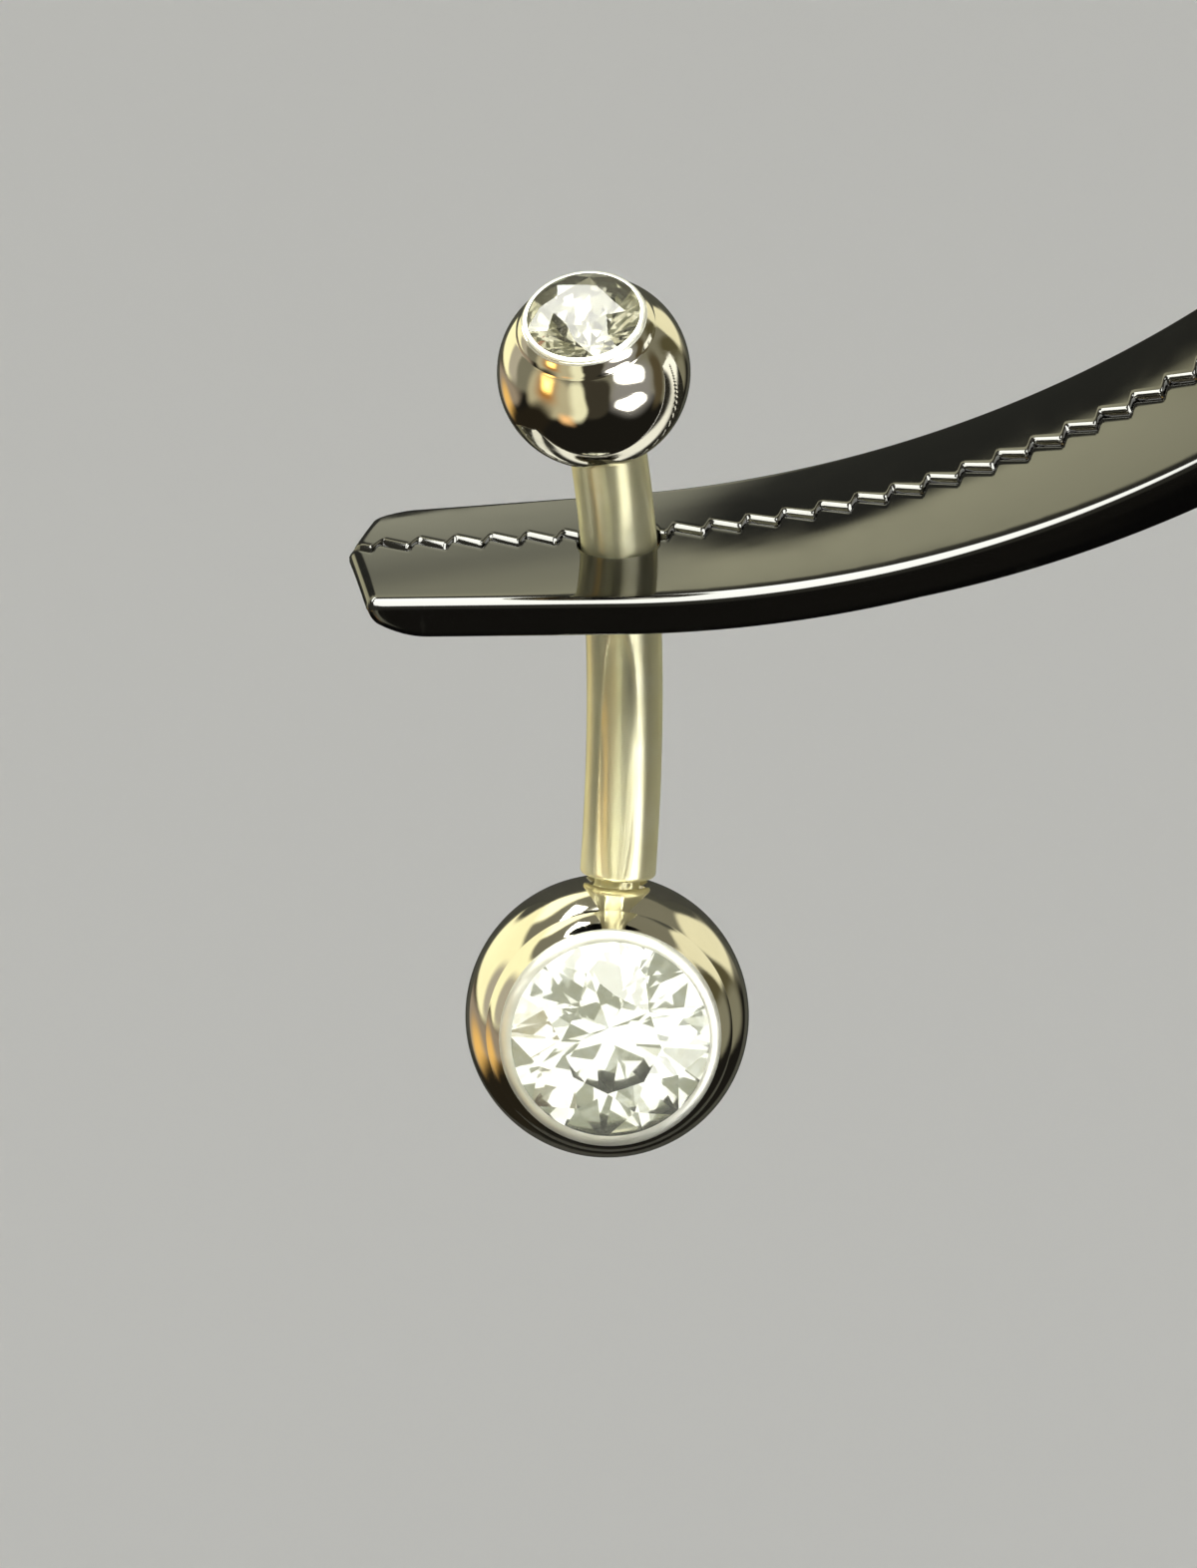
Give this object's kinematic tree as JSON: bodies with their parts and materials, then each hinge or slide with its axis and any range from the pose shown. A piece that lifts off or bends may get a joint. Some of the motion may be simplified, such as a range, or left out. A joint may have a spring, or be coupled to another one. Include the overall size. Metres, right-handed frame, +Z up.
{
  "type": "belly button ring on a display strip",
  "caption": "Curved barbell with a stone-set ball that unscrews above and a larger stone-set ball below, gripped upright in the serrated slit of an upturned strip.",
  "frame": {"origin": "middle of the strip's cut end face, where a display would hold it", "axes": "+Z up, +X along the strip's level stretch towards the cut end, -Y the side that the large stone faces"},
  "size_m": [0.0235, 0.0072, 0.0211],
  "materials": {
    "polished_steel": "mirror-polished surgical steel",
    "crystal": "clear cut crystal with a silver-foiled back",
    "strip_plastic": "glossy black moulded plastic"
  },
  "bodies": {
    "strip_and_bar": {"display_strip": "strip_plastic", "bar": "polished_steel", "bottom_ball": "polished_steel", "bottom_stone": "crystal"},
    "top_ball": {"top_ball": "polished_steel", "top_stone": "crystal"}
  },
  "joints": [
    {"name": "top_ball_unscrew", "type": "slide", "parent": "strip_and_bar", "child": "top_ball", "axis": [-0.1203, -0.4545, 0.8826], "range_m": [0, 0.004]}
  ]
}
